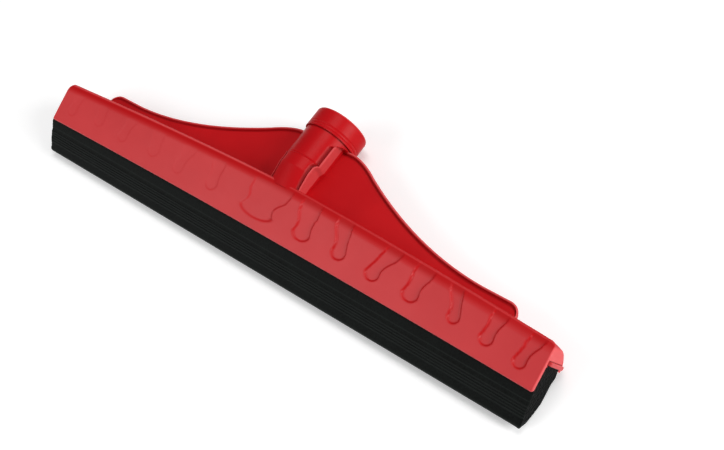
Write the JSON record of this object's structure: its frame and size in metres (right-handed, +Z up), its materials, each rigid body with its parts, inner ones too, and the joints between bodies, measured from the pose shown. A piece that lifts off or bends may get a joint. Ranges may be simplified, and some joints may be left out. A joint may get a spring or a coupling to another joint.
{
  "type": "squeegee head",
  "caption": "Push squeegee head with a crowned apron, a gusseted pole socket and a slide-out foam blade.",
  "frame": {"origin": "centre of the underside, on the floor the head lies on", "axes": "+X along the blade towards the open end the refill slides out of, +Y towards the socket's mouth, +Z up with the head lying on its back"},
  "size_m": [0.454, 0.119, 0.0418],
  "materials": {
    "head_plastic": "satin",
    "carrier_plastic": "satin",
    "foam": "matte"
  },
  "bodies": {
    "head": {"apron": "head_plastic", "top_cover": "head_plastic", "end_wall_left": "head_plastic", "end_wall_right": "head_plastic", "back_wall": "head_plastic", "back_lip": "head_plastic", "front_ledge": "head_plastic", "seat_ribs": "head_plastic", "web_plate": "head_plastic", "web_bead": "head_plastic", "socket_barrel": "head_plastic", "socket_collar": "head_plastic"},
    "refill": {"carrier_strip": "carrier_plastic", "carrier_keel": "carrier_plastic", "foam_blade": "foam"}
  },
  "joints": [
    {"name": "refill_slide", "type": "slide", "parent": "head", "child": "refill", "axis": [1, 0, 0], "range_m": [0, 0.45]}
  ]
}
